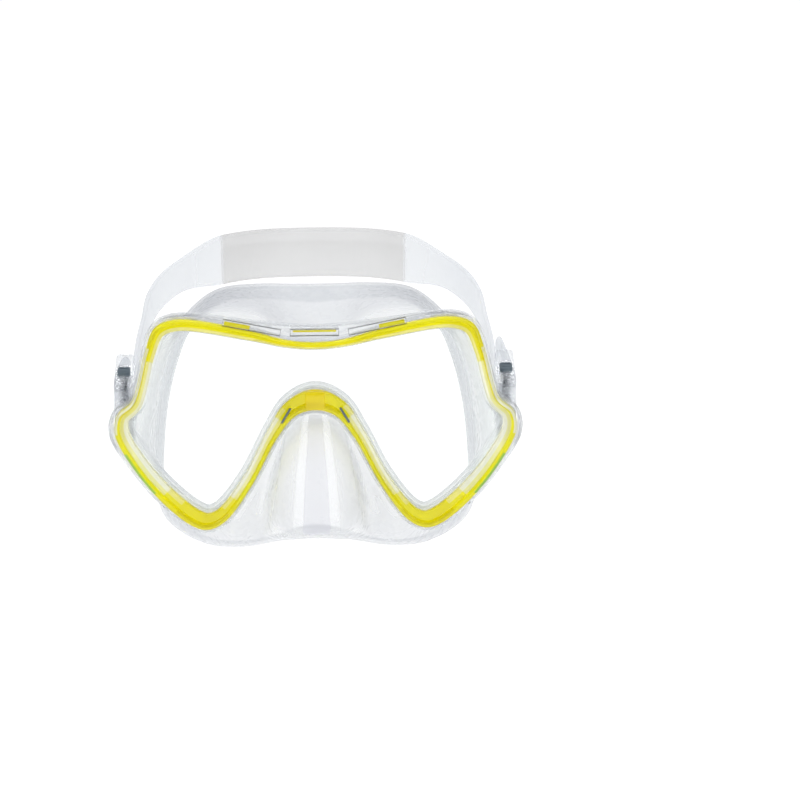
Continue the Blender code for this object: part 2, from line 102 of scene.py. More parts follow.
# The fold where the skirt meets the face, in x and z, at the same stations as OUTLINE.
SEAL = (
    (0, 51.0), (11, 51.0), (22, 50.8), (41, 47.5), (52, 39.5), (60, 29.0), (64.5, 17.5), (67, 9.0), (69, 0.0),
    (70.5, -9.0), (72.0, -27.0), (72.0, -44.0), (68.5, -57.0), (60, -63.5), (47, -66.0), (33, -65.5),
    (21, -62.5), (10, -59.0), (0, -57.5),
)
# Shape of the skirt's wall from the frame back to the seal: share of the depth, and share of the way in
# x and z where the seal lies outside the frame's opening and where it lies well inside it.
WALL_SHAPE = ((0.08, 0.10, 0.72), (0.30, 0.26, 0.92), (0.58, 0.52, 0.95), (0.84, 0.80, 0.98))
# The nose pocket at the last five stations: x, depth, z of three points from the frame down to the lip.
POCKET = (
    ((35.0, 15.0, -48.0), (35.0, 21.0, -53.5), (36.5, 32.0, -60.0)),
    ((23.0, 14.0, -34.0), (23.5, 16.0, -43.0), (24.5, 25.0, -53.0)),
    ((14.0, 8.0, -14.0), (17.0, 4.0, -28.0), (18.0, 6.0, -44.0)),
    ((6.5, 5.0, -7.0), (9.0, -3.5, -24.0), (10.5, -6.0, -43.0)),
    ((0.0, 5.0, -6.0), (0.0, -5.0, -24.0), (0.0, -8.0, -43.0)),
)
POCKET_START = len(OUTLINE) - len(POCKET)
SPAN_STEPS = 12  # points on the outline from one station to the next
WALL_STEPS = 7  # rings of the skirt from one station ring to the next

LENS_THICKNESS = 3.8
LENS_INSET = 1.8
LENS_CHAMFER = 0.4
RING_FRONT = -4.0
FRAME_FRONT = -3.5
FLANGE_DEPTH = 7.5
FRAME_DEPTH = 10.0
SKIRT_LIP = 1.5
SKIRT_WALL = 1.8
SEAL_WALL = 1.0
OPENING_INSET = 1.3
WALL_START, WALL_INSET = 1.0, 0.5  # where the wall starts: behind the frame, outside the ring's inner edge
POCKET_TURN = (3.6, 2.4)  # the nose pocket turns forwards this far outside the ring and behind the frame
TUCK_WIDTH = 8.0  # WALL_SHAPE goes from its second column to its third over this distance
SEAL_DEPTH = 43.0
SEAL_SWEEP, SWEEP_X = 32.0, 66.0  # the face falls back this far at this x
SEAL_LEAN, LEAN_Z = 5.0, 50.0  # and this far at this height up the brow
SEAL_HALF_X, SEAL_MIDDLE_Z = 72.0, -7.0  # the seal's widest x, and the height its lip points towards
SEAL_ROLL = (2.0, 1.5)  # the fold rolls inwards and back by these
SEAL_LIP, SEAL_LIP_SIDE, LIP_BACK = 8.0, 5.0, 1.0
NOSE_LIP = 0.4  # share of the lip's length under the nose
# Upright ribs on the front of the nose pocket: x at its top, spread for each mm down, width, height.
RIBS = ((4.8, 0.09, 0.9, 0.6), (10.6, 0.17, 1.0, 0.5))
RIB_TOP, RIB_FOOT = 1.5, -47.5
RIB_FADE = 5.0
FLUTE_COLUMNS = (0.5, 0.8)  # the flutes, which take a painted highlight, in stations of the outline from the middle plane
FOOT_BAND = 2.5  # height of the painted highlight band along the pocket's foot
BAND_DEPTH = 13.0  # the panel's painted shade and the flutes' painted highlight end at this depth
# The pocket's raised front panel: half width at its top, spread for each mm down, edge, height.
PANEL_X, PANEL_SPREAD, PANEL_SLOPE, PANEL_HEIGHT = 10.6, 0.17, 1.6, 1.8

# Buckle, in its own axes: x out from its roller, y back from its pivot, z up from the strap's middle.
BUCKLE_X = 80.8
PIVOT_DEPTH = 17.0
PIVOT_Z = -0.5
STRAP_RISE = math.radians(21.5)
EAR_THICKNESS = 3.0
EAR_HEIGHT = 7.0
EAR_ROOT, EAR_BEVEL = 1.5, 0.8  # how far it starts inside the frame, and its rounding
EAR_PLAY = 1.2  # extra room above and below it in the buckle's slot
PIVOT_RADIUS = 1.5
BODY_HALF_X = 4.0
BODY_FRONT, BODY_BACK = -3.0, 27.5
WINDOW_FRONT, WINDOW_HALF_Z = 6.5, 9.2
BODY_HALF_Z = 15.5
BODY_BEVEL, BODY_EDGE = 1.6, 0.25  # rounding of its block, and of the edges of its cuts
FORK_HALF_Z, RAIL_FRONT = 8.5, 3.5
ROLLER_Y, ROLLER_RADIUS, ROLLER_PIN = 13.0, 2.2, 1.0
PAWL_Y, PAWL_PIN = 19.5, 0.8
PIN_REACH = 1.2  # how far the pins' holes go into the rails
BUTTON_SIZE = (5.4, 5.0, 3.2)
BUTTON_TOP = 17.2
BUTTON_Y = 12.0
BUTTON_BEVEL = 0.8
# The button's two grip ribs.
GRIP_Y, GRIP_HALF_Y, GRIP_INSET, GRIP_HEIGHT, GRIP_ROOT, GRIP_BEVEL = 1.1, 0.45, 0.9, 0.35, 1.2, 0.2
POCKET_FLOOR = 10.8
SPRING_RADIUS, SPRING_WIRE, SPRING_TURNS = 1.7, 0.22, 3
SPRING_PLAY = 0.2
SPRING_SIDES, WIRE_SIDES = 24, 10

BAND_THICKNESS, PAD_THICKNESS = 2.0, 2.8
BAND_HALF_Z, PAD_HALF_Z = 8.5, 12.8
LOOP_BACK = 138.0
CORNER_START = 68.0
CORNER_POWER = (0.72, 0.85)  # the corner is squarer than an ellipse by these powers, in x and y
TEMPLE_DRAW = 2.0  # how far the strap has come inwards where its corner starts
TURN_STEPS = 6
ROUTE_STEPS, STRAP_STEP = 8, 0.55  # points to a span of the route, and the even step between rings
PAD_HALF_X = 42.0
PAD_EDGE = (0.99, 1.01)  # the pad's thickness ends between these shares of PAD_HALF_X
PAD_FADE = 1.5  # and the band is back to its own height at this many times it
STRAP_ROUND = 0.9  # rounding of the strap's long edges
END_LENGTH, END_TIP = 5.0, 0.35  # each tail narrows over this length, to this share of its height
TAIL_END = {"left": (79.9, 52.0), "right": (80.6, 39.0)}
# Groove along the pad; its depth is a share of half the pad's thickness.
GROOVE_Z, GROOVE_HALF, GROOVE_DEPTH = 6.0, 0.9, 0.45
TOOTH_PITCH, TOOTH_HEIGHT, TOOTH_INSET = 2.2, 0.3, 0.6  # cross ribs near the strap's ends
TOOTHED = (2.5, 24.0)  # where the ribs start and stop, from the end


def place(x, depth, z):
    """A point of the lens's frame, in metres in the row's frame."""
    return Vector((x, LENS_FRONT + depth, LENS_CENTRE + z)) * MM


# ---------------------------------------------------------------- materials

class Nodes:
    """A new material's node tree, with short ways to add and join nodes."""

    def __init__(self, name):
        self.material = bpy.data.materials.new(name)
        self.material.use_nodes = True
        self.tree = self.material.node_tree
        self.tree.nodes.clear()

    def add(self, kind, **values):
        """A node of a kind, with its sockets or settings given by name."""
        node = self.tree.nodes.new(kind)
        for key, value in values.items():
            socket = key.replace("_", " ").title() if key.islower() else key
            if socket in node.inputs:
                node.inputs[socket].default_value = value
            else:
                setattr(node, key, value)
        return node

    def join(self, source, target):
        self.tree.links.new(source, target)

    def noise(self, scale, detail=3.0, stretch=(1.0, 1.0, 1.0)):
        """Noise in the piece's own coordinates. A stretch below 1 draws it out along that axis."""
        where = self.add("ShaderNodeTexCoord")
        size = self.add("ShaderNodeMapping")
        size.inputs["Scale"].default_value = stretch
        node = self.add("ShaderNodeTexNoise", scale=scale, detail=detail)
        self.join(where.outputs["Object"], size.inputs["Vector"])
        self.join(size.outputs[0], node.inputs["Vector"])
        return node.outputs["Fac"]

    def spread(self, source, low, high, start=0.0, end=1.0):
        """Maps start to end onto low to high."""
        node = self.add("ShaderNodeMapRange")
        for key, value in (("From Min", start), ("From Max", end), ("To Min", low), ("To Max", high)):
            node.inputs[key].default_value = value
        self.join(source, node.inputs["Value"])
        return node.outputs["Result"]

    def tint(self, source, dark, light):
        """A colour between two, by source."""
        node = self.add("ShaderNodeMix", data_type="RGBA")
        ends = {"A": dark, "B": light}
        for socket in node.inputs:
            if socket.name in ends and socket.type == "RGBA":
                socket.default_value = (*ends[socket.name], 1)
        self.join(source, node.inputs["Factor"])
        return next(s for s in node.outputs if s.type == "RGBA")

    def bump(self, source, height, strength):
        """A normal bent by source, its height in metres."""
        node = self.add("ShaderNodeBump", strength=strength, distance=height)
        self.join(source, node.inputs["Height"])
        return node.outputs["Normal"]

    def finish(self, shader):
        """The material, with its shader joined to the output."""
        out = self.add("ShaderNodeOutputMaterial")
        self.join(shader, out.inputs["Surface"])
        return self.material


def let_lamps_through(n, shader, colour):
    """Shadow rays pass a clear piece, tinted, so that what lies behind it is lit."""
    path = n.add("ShaderNodeLightPath")
    clear = n.add("ShaderNodeBsdfTransparent", color=(*colour, 1))
    mix = n.add("ShaderNodeMixShader")
    n.join(path.outputs["Is Shadow Ray"], mix.inputs[0])
    n.join(shader, mix.inputs[1])
    n.join(clear.outputs[0], mix.inputs[2])
    return mix.outputs[0]


def clear_material(name, colour, ior, roughest, plain=0.0):
    """Clear glass or polycarbonate with faint flow waves and a slightly uneven polish.

    plain is the share that passes light unbent, for thin mouldings whose edges would look too dark.
    """
    n = Nodes(name)
    body = n.add("ShaderNodeBsdfPrincipled")
    body.inputs["Base Color"].default_value = (*colour, 1)
    body.inputs["IOR"].default_value = ior
    body.inputs["Transmission Weight"].default_value = 1.0
    n.join(n.spread(n.noise(60.0), 0.0, roughest, 0.3, 0.8), body.inputs["Roughness"])
    n.join(n.bump(n.noise(25.0, 1.0), 0.0002, 0.15), body.inputs["Normal"])
    clear = n.add("ShaderNodeBsdfTransparent", color=(*colour, 1))
    mix = n.add("ShaderNodeMixShader")
    mix.inputs[0].default_value = plain
    n.join(body.outputs[0], mix.inputs[1])
    n.join(clear.outputs[0], mix.inputs[2])
    return n.finish(let_lamps_through(n, mix.outputs[0], colour))


def tinted_plastic(name, thin, deep, roughest):
    """Translucent moulded plastic: part clear, part milky, deeper in colour in places."""
    n = Nodes(name)
    body = n.add("ShaderNodeBsdfPrincipled")
    body.inputs["IOR"].default_value = 1.5
    body.inputs["Coat Weight"].default_value = 0.1
    body.inputs["Coat Roughness"].default_value = 0.04
    body.inputs["Transmission Weight"].default_value = 0.7
    cloud = n.noise(35.0, 2.0)
    n.join(n.tint(n.spread(cloud, 0.0, 1.0, 0.3, 0.7), deep, thin), body.inputs["Base Color"])
    n.join(n.spread(n.noise(90.0), 0.08, roughest, 0.3, 0.8), body.inputs["Roughness"])
    n.join(n.bump(n.noise(400.0, 2.0), 0.00005, 0.2), body.inputs["Normal"])
    return n.finish(let_lamps_through(n, body.outputs[0], thin))


def silicone_material(name, facing, edge, tone_low, tone_high, roughness):
    """Milky clear silicone: thin where it is faced, denser where it is seen along its wall."""
    n = Nodes(name)
    body = n.add("ShaderNodeBsdfPrincipled")
    body.inputs["IOR"].default_value = 1.41
    cloud = n.noise(20.0, 1.0, (1.0, 0.5, 0.5))
    n.join(n.tint(n.spread(cloud, 0.0, 1.0, 0.35, 0.65), tone_low, tone_high), body.inputs["Base Color"])
    n.join(n.spread(n.noise(250.0), roughness - 0.06, roughness + 0.08, 0.3, 0.7), body.inputs["Roughness"])
    n.join(n.bump(n.noise(900.0, 1.0), 0.00001, 0.1), body.inputs["Normal"])
    clear = n.add("ShaderNodeBsdfTransparent", color=(0.985, 0.99, 0.995, 1))
    view = n.add("ShaderNodeLayerWeight", blend=0.5)
    mix = n.add("ShaderNodeMixShader")
    n.join(n.spread(view.outputs["Facing"], facing, edge), mix.inputs[0])
    n.join(clear.outputs[0], mix.inputs[1])
    n.join(body.outputs[0], mix.inputs[2])
    return n.finish(mix.outputs[0])


def grey_material():
    """Slate grey acetal with a fine moulded grain."""
    n = Nodes("slate_grey_acetal")
    body = n.add("ShaderNodeBsdfPrincipled")
    n.join(n.tint(n.noise(120.0), (0.085, 0.115, 0.145), (0.13, 0.17, 0.2)), body.inputs["Base Color"])
    n.join(n.spread(n.noise(300.0), 0.28, 0.45), body.inputs["Roughness"])
    n.join(n.bump(n.noise(1500.0), 0.00006, 0.4), body.inputs["Normal"])
    return n.finish(body.outputs[0])


def steel_material():
    """Drawn stainless wire and pins."""
    n = Nodes("stainless_steel")
    body = n.add("ShaderNodeBsdfPrincipled")
    body.inputs["Metallic"].default_value = 1.0
    n.join(n.tint(n.noise(200.0), (0.5, 0.51, 0.53), (0.68, 0.69, 0.71)), body.inputs["Base Color"])
    n.join(n.spread(n.noise(700.0), 0.18, 0.34), body.inputs["Roughness"])
    n.join(n.bump(n.noise(2000.0), 0.00002, 0.2), body.inputs["Normal"])
    return n.finish(body.outputs[0])


def stage_material():
    """A white floor that glows a little, so that it stays white under the soft lights."""
    n = Nodes("white_floor")
    paint = n.add("ShaderNodeBsdfDiffuse", color=(0.3, 0.3, 0.3, 1))
    glow = n.add("ShaderNodeEmission", color=(1, 1, 1, 1), strength=0.86)
    both = n.add("ShaderNodeAddShader")
    n.join(paint.outputs[0], both.inputs[0])
    n.join(glow.outputs[0], both.inputs[1])
    return n.finish(both.outputs[0])


GLASS = clear_material("tempered_glass", (0.975, 0.99, 0.985), 1.5, 0.01)
CLEAR = clear_material("clear_polycarbonate", (0.97, 0.975, 0.98), 1.5, 0.05, 0.5)
# Painted shade: dark clear plastic for thin rims round the top rail's windows.
WINDOW_SHADE = clear_material("painted_shade_polycarbonate", (0.5, 0.5, 0.51), 1.5, 0.1, 0.3)
THIN_CLEAR = clear_material("thin_clear_polycarbonate", (0.975, 0.98, 0.985), 1.5, 0.05, 0.75)
YELLOW = tinted_plastic("lemon_yellow_plastic", (1.0, 0.95, 0.0), (0.92, 0.82, 0.0), 0.14)
# Painted shade on the yellow ring: in its groove, and on its outer slope at the lobes and over the nose.
YELLOW_SHADE = tinted_plastic("yellow_plastic_painted_shade", (0.86, 0.77, 0.0), (0.70, 0.61, 0.0), 0.14)
# The next two are painted highlights on the yellow ring: a full one and a half one.
YELLOW_HIGHLIGHT = tinted_plastic("yellow_plastic_painted_highlight", (1.0, 1.0, 0.95), (1.0, 0.99, 0.80), 0.12)
YELLOW_HALF_HIGHLIGHT = tinted_plastic("yellow_plastic_painted_half_highlight", (1.0, 0.96, 0.46), (0.98, 0.91, 0.20), 0.12)
# A painted green reflection on the outer edges of the ring's crest, low on the wings.
YELLOW_GREEN_REFLECTION = tinted_plastic("yellow_plastic_painted_green_reflection", (0.26, 0.60, 0.02), (0.16, 0.46, 0.02), 0.12)
AMBER = tinted_plastic("amber_yellow_plastic", (1.0, 0.92, 0.0), (0.97, 0.86, 0.0), 0.14)
SKIRT = silicone_material("skirt_silicone", 0.22, 0.6, (0.70, 0.71, 0.74), (0.81, 0.82, 0.84), 0.28)
# Painted shade: denser lavender-grey silicone on the nose pocket's front panel.
NOSE_PANEL_SHADE = silicone_material("nose_panel_painted_shade_silicone", 0.34, 0.8, (0.65, 0.65, 0.72), (0.73, 0.73, 0.79), 0.32)
# Painted highlight: near-white, thin silicone on the nose pocket's flutes and along its foot.
FLUTE_HIGHLIGHT = silicone_material("nose_flute_painted_highlight_silicone", 0.10, 0.4, (0.92, 0.92, 0.92), (0.97, 0.97, 0.97), 0.22)
STRAP = silicone_material("strap_silicone", 0.2, 0.5, (0.74, 0.76, 0.80), (0.84, 0.86, 0.89), 0.34)
PAD = silicone_material("strap_pad_silicone", 0.36, 0.8, (0.69, 0.675, 0.665), (0.77, 0.755, 0.745), 0.42)
GREY = grey_material()
STEEL = steel_material()


# ---------------------------------------------------------------- shapes

TURNED_SIDES = 40


def new_piece(name, points, faces, finish, body, to_part=place, sharp=40.0):
    """One piece from points in millimetres, riding on a body of the frame."""
    mesh = bpy.data.meshes.new(name)
    mesh.from_pydata([to_part(*p) for p in points], [], faces)
    tidy_normals(mesh)
    mesh.materials.append(finish)
    mesh.shade_smooth()
    mesh.set_sharp_from_angle(angle=math.radians(sharp))
    made = bpy.data.objects.new(name, mesh)
    bpy.context.scene.collection.objects.link(made)
    if body:
        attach(made, body)
    return made


def tidy_normals(mesh):
    """Turns a closed mesh's faces outwards."""
    work = bmesh.new()
    work.from_mesh(mesh)
    bmesh.ops.recalc_face_normals(work, faces=work.faces)
    if work.calc_volume(signed=True) < 0:
        bmesh.ops.reverse_faces(work, faces=work.faces)
    work.to_mesh(mesh)
    work.free()


def smooth_step(value, low, high):
    """Rises from 0 at low to 1 at high, level at both."""
    t = max(0.0, min(1.0, (value - low) / (high - low)))
    return t * t * (3 - 2 * t)


def mirrored(half):
    """The whole closed loop of a half list whose first and last rows lie on the middle plane."""
    other = [(-row[0], *row[1:]) for row in half[-2:0:-1]]
    return list(half) + other


def spline(rows, steps, closed=True):
    """A centripetal Catmull-Rom curve through rows of numbers, steps points to a span."""
    vectors = [Vector(row) for row in rows]
    count = len(vectors)
    spans = count if closed else count - 1
    made = []
    for i in range(spans):
        if closed:
            a, b, c, d = (vectors[(i + k) % count] for k in (-1, 0, 1, 2))
        else:
            b, c = vectors[i], vectors[i + 1]
            a = vectors[i - 1] if i else b * 2 - c
            d = vectors[i + 2] if i + 2 < count else c * 2 - b
        t1 = math.sqrt((b - a).length) or 1.0
        t2 = t1 + (math.sqrt((c - b).length) or 1.0)
        t3 = t2 + (math.sqrt((d - c).length) or 1.0)
        for k in range(steps):
            t = t1 + (t2 - t1) * k / steps
            p = a.lerp(b, t / t1)
            q = b.lerp(c, (t - t1) / (t2 - t1))
            r = c.lerp(d, (t - t2) / (t3 - t2))
            s = p + (q - p) * (t / t2)
            u = q + (r - q) * ((t - t1) / (t3 - t1))
            made.append(s + (u - s) * ((t - t1) / (t2 - t1)))
    if not closed:
        made.append(vectors[-1])
    return made


def outward(loop):
    """Unit normals in the x-z plane of a closed loop that runs clockwise seen from the front."""
    count = len(loop)
    made = []
    for i in range(count):
        before, after = loop[i - 1], loop[(i + 1) % count]
        made.append(Vector((-(after[1] - before[1]), after[0] - before[0])).normalized())
    return made


def outline():
    """Points of the ring's outer edge: x, z, ring width, frame margin, normal x, normal z."""
    loop = spline(mirrored(OUTLINE), SPAN_STEPS)
    return [(p[0], p[1], p[2], p[3], n.x, n.y) for p, n in zip(loop, outward(loop))]


def offset(point, distance):
    """x and z at a distance outwards from an outline point."""
    x, z, _width, _margin, nx, nz = point
    return x + nx * distance, z + nz * distance


def loft(rings, closed=True):
    """Points and faces of a tube through rings of equal length, closed on itself or capped at its ends."""
    count, depth = len(rings[0]), len(rings)
    points = [p for ring in rings for p in ring]
    faces = []
    for r in range(depth if closed else depth - 1):
        low, high = r * count, (r + 1) % depth * count
        for i in range(count):
            j = (i + 1) % count
            faces.append((low + i, low + j, high + j, high + i))
    if not closed:
        faces.append(tuple(range(count)))
        faces.append(tuple(range(len(points) - count, len(points))))
    return points, faces


def section_ring(name, section, finish):
    """A ring that follows the outline. section(point) gives (distance outwards, depth) corners."""
    loop = outline()
    corners = [section(point) for point in loop]
    rings = []
    for k in range(len(corners[0])):
        ring = []
        for point, corner in zip(loop, corners):
            x, z = offset(point, corner[k][0])
            ring.append((x, corner[k][1], z))
        rings.append(ring)
    points, faces = loft(rings)
    return new_piece(name, points, faces, finish, "mask")


def cut(body, cutter, operation="DIFFERENCE"):
    """Applies one Boolean to body and takes the other object away."""
    step = body.modifiers.new(operation.lower(), "BOOLEAN")
    step.operation = operation
    step.solver = "EXACT"
    step.object = cutter
    view = bpy.context.evaluated_depsgraph_get()
    mesh = bpy.data.meshes.new_from_object(body.evaluated_get(view), depsgraph=view)
    body.modifiers.clear()
    body.data = mesh
    bpy.data.objects.remove(cutter)


def block(name, low, high, finish, body=None, to_part=place, bevel=0.0, segments=3):
    """A block between two corners, its edges rounded in millimetres."""
    (x0, y0, z0), (x1, y1, z1) = low, high
    work = bmesh.new()
    bmesh.ops.create_cube(work, size=1)
    for v in work.verts:
        v.co = Vector(((x0, x1)[v.co.x > 0], (y0, y1)[v.co.y > 0], (z0, z1)[v.co.z > 0]))
    if bevel:
        bmesh.ops.bevel(work, geom=work.edges[:], offset=bevel, segments=segments, profile=0.5,
                        affect="EDGES")
    work.verts.index_update()
    points = [tuple(v.co) for v in work.verts]
    faces = [tuple(v.index for v in f.verts) for f in work.faces]
    work.free()
    return new_piece(name, points, faces, finish, body, to_part)


def turned(name, axis, centre, profile, finish, to_part=place):
    """A body turned about the x or z axis through centre. profile holds (position, radius) pairs."""
    rings = []
    for along, radius in profile:
        ring = []
        for k in range(TURNED_SIDES):
            angle = math.tau * k / TURNED_SIDES
            a, b = radius * math.cos(angle), radius * math.sin(angle)
            shift = (along, a, b) if axis == "x" else (a, b, along)
            ring.append(tuple(c + s for c, s in zip(centre, shift)))
        rings.append(ring)
    points, faces = loft(rings, closed=False)
    return new_piece(name, points, faces, finish, None, to_part)


def soften(piece, width, segments):
    """Rounds a piece's sharp edges with a bevel that is applied at once."""
    bevel = piece.modifiers.new("round", "BEVEL")
    bevel.width = width * MM
    bevel.segments = segments
    bevel.limit_method = "ANGLE"
    bevel.angle_limit = math.radians(40)
    bevel.harden_normals = False
    view = bpy.context.evaluated_depsgraph_get()
    mesh = bpy.data.meshes.new_from_object(piece.evaluated_get(view), depsgraph=view)
    piece.modifiers.clear()
    piece.data = mesh
    mesh.shade_smooth()
    mesh.set_sharp_from_angle(angle=math.radians(50))


# ---------------------------------------------------------------- lens, ring and frame

def make_lens():
    """The glass pane, with its edges chamfered."""
    back = LENS_THICKNESS
    edge = (
        (LENS_CHAMFER, 0.0), (0.0, LENS_CHAMFER), (0.0, back - LENS_CHAMFER), (LENS_CHAMFER, back),
    )
    rings = []
    for inset, depth in edge:
        ring = []
        for point in outline():
            x, z = offset(point, -LENS_INSET - inset)
            ring.append((x, depth, z))
        rings.append(ring)
    points, faces = loft(rings, closed=False)
    piece = new_piece("lens_pane", points, faces, GLASS, "mask", sharp=20.0)
    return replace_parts(piece, "lens")


def ring_section(point):
    """Two rounded tiers with a groove between them."""
    width = point[2]
    step = -0.38 * width
    low = -0.68 * width
    return (
        (0, -GAP), (0, -2.5), (-0.15, -3.1), (-0.5, -3.65), (-0.95, -3.95), (-1.3, -4.0),
        (step + 0.25, -3.7), (step, -3.3), (step - 0.15, -2.6), (step - 0.4, -2.35),
        (low, -2.45), (0.9 - width, -2.9), (0.5 - width, -3.0), (0.15 - width, -2.7),
        (-width, -2.2), (-width, -GAP),
    )


# The ring is yellow on its crest and gets paler towards its inner edge, in the order of the first three: the
# paler ones are painted highlights. YELLOW_SHADE is painted shade, YELLOW_GREEN_REFLECTION a painted green
# reflection.
# The sides of its section are numbered from its outer foot inwards.
SHADES = (YELLOW, YELLOW_HALF_HIGHLIGHT, YELLOW_HIGHLIGHT, YELLOW_SHADE, YELLOW_GREEN_REFLECTION)
CREST, FALL, GROOVE = (2, 3, 4), (5, 6), (7,)
SHELF_SIDE, EDGE_SIDE = 8, 10  # the inner tier starts at one, its palest painted highlight at the other
# The inner tier is full yellow, without painted highlight, at the lobes and over the nose, and half way there
# next to them and on the top bar. The crest's outer edges take a painted highlight and a painted green
# reflection, between these heights.
LOBE_Z, ARCH_X = -38.0, 9.0
FADE_Z, FADE_X, BROW_Z = -32.0, 12.0, 27.0
CREST_EDGE_X = 60.0
PALE_Z, GREEN_Z = (-4.0, 33.0), (-30.0, -13.0)


def ring_shade(side, x, z):
    """Which of SHADES one face of the ring takes: plain yellow, a painted highlight, painted shade or a
    painted green reflection.
    """
    full = z < LOBE_Z or (abs(x) < ARCH_X and z < BROW_Z)
    fading = z < FADE_Z or z > BROW_Z or abs(x) < FADE_X
    # The crest's outer edges take a painted green reflection low down and a painted highlight higher up.
    if side in CREST and abs(x) > CREST_EDGE_X:
        for shade, (low, high) in ((YELLOW_GREEN_REFLECTION, GREEN_Z), (YELLOW_HIGHLIGHT, PALE_Z)):
            if low < z < high:
                return SHADES.index(shade)
    # Painted shade: the groove, and the outer slope where the ring is full yellow.
    if side in GROOVE or (full and side in FALL):
        return SHADES.index(YELLOW_SHADE)
    if side < SHELF_SIDE or full:
        return SHADES.index(YELLOW)
    shade = YELLOW_HIGHLIGHT if side >= EDGE_SIDE else YELLOW_HALF_HIGHLIGHT
    return SHADES.index(shade) - fading


def make_ring():
    """The yellow ring, each face with its shade from SHADES, painted highlights and painted shade among them.
    """
    piece = section_ring("lens_ring", ring_section, SHADES[0])
    for shade in SHADES[1:]:
        piece.data.materials.append(shade)
    loop = outline()
    for face in piece.data.polygons:
        side, i = divmod(face.index, len(loop))
        face.material_index = ring_shade(side, loop[i][0], loop[i][1])
    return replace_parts(piece, "retaining_ring")


def frame_section(point):
    """A rounded front edge beside the ring, a tapered side, and a flange behind the skirt's bead."""
    width, margin = point[2], point[3]
    inner = 0.8 - width
    back = max(margin - 0.8, 1.2)
    last = max(margin - 1.4, 0.8)
    return (
        (0.35, -2.9), (0.5, -3.3), (0.8, FRAME_FRONT), (margin - 0.9, -3.3), (margin - 0.3, -2.9),
        (margin, -2.0), (margin, 0.0), (back + 0.2, 5.0), (back, FRAME_DEPTH - 1.2),
        (last, FRAME_DEPTH), (inner + 0.3, FRAME_DEPTH), (inner, FRAME_DEPTH - 0.3),
        (inner, FLANGE_DEPTH + 0.2), (inner + 0.2, FLANGE_DEPTH), (0.35, FLANGE_DEPTH),
    )


# Windows moulded in the frame's top rail: middle x, middle z, half width, half height, tilt in degrees.
RAIL_WINDOWS = (
    (0.0, 38.9, 9.9, 1.25, 0.0),
    (-26.0, 41.2, 12.0, 1.2, -11.0),
    (26.0, 41.2, 12.0, 1.2, 11.0),
)
WINDOW_DEPTH = 3.4
RIM_WIDTH, RIM_DEPTH = 0.22, 1.4
# The ring's snap tabs in the side windows: middle along and above the window's, half width and height.
SIDE_TAB = (6.0, 0.95, 5.4, 0.8)
MIDDLE_TAB = (0.5, 9.0, 0.35)  # the one in the middle window: above its middle, half width and height
TAB_SUNK, MIDDLE_SUNK, TAB_BACK = 0.5, 0.6, 2.3  # how far behind the frame's front the tabs start and end
NOSE_BLOCK_HALF_X, NOSE_BLOCK_Z = 4.1, (6.3, 14.2)
NOSE_BLOCK_PROUD, NOSE_BLOCK_BEVEL = 0.7, 0.7
CATCH = (12.2, 4.0, 0.42, 3.6, 31.0)  # a catch on the nose slope: x, z, half width and height, tilt
CATCH_PROUD, CATCH_BACK = 0.1, 1.3


def tilted_block(name, window, low, high, finish, body=None, bevel=0.0):
    """A block between two depths, placed, sized and tilted as one row of RAIL_WINDOWS."""
    x, z, half_x, half_z, tilt = window
    turn = Matrix.Rotation(-math.radians(tilt), 3, "Y")

    def to_part(a, b, c):
        turned_point = turn @ Vector((a, 0, c))
        return place(x + turned_point.x, b, z + turned_point.z)

    return block(name, (-half_x, low, -half_z), (half_x, high, half_z), finish, body, to_part,
                 bevel)


def make_frame():
    """The clear frame, with an ear behind each wing and three windows in its top rail."""
    piece = section_ring("clear_frame", frame_section, CLEAR)
    half = EAR_THICKNESS / 2
    for side in SIDES.values():
        ends = sorted((side * (BUCKLE_X - half), side * (BUCKLE_X + half)))
        low = (ends[0], FRAME_DEPTH - EAR_ROOT, PIVOT_Z - EAR_HEIGHT / 2)
        high = (ends[1], PIVOT_DEPTH + EAR_HEIGHT / 2, PIVOT_Z + EAR_HEIGHT / 2)
        cut(piece, block("ear", low, high, CLEAR, bevel=EAR_BEVEL), "UNION")
        bore = ((-half - 1, PIVOT_RADIUS + GAP), (half + 1, PIVOT_RADIUS + GAP))
        cut(piece, turned("bore", "x", (side * BUCKLE_X, PIVOT_DEPTH, PIVOT_Z), bore, CLEAR))
    for window in RAIL_WINDOWS:
        cut(piece, tilted_block("window", window, FRAME_FRONT - 1, FRAME_FRONT + WINDOW_DEPTH, CLEAR))
    piece.data.shade_smooth()
    piece.data.set_sharp_from_angle(angle=math.radians(40))
    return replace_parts(piece, "front_frame")


def make_window_rims():
    """A thin darker rim round each window: painted shade along the window's edges."""
    for window, name in zip(RAIL_WINDOWS, ("middle", "right", "left")):
        low, high = FRAME_FRONT - 0.05, FRAME_FRONT + RIM_DEPTH
        wide = (window[0], window[1], window[2] + RIM_WIDTH, window[3] + RIM_WIDTH, window[4])
        rim = tilted_block(f"window_shade_rim_{name}", wide, low, high, WINDOW_SHADE, "mask")
        cut(rim, tilted_block("window", window, low - 1, high + 1, WINDOW_SHADE))


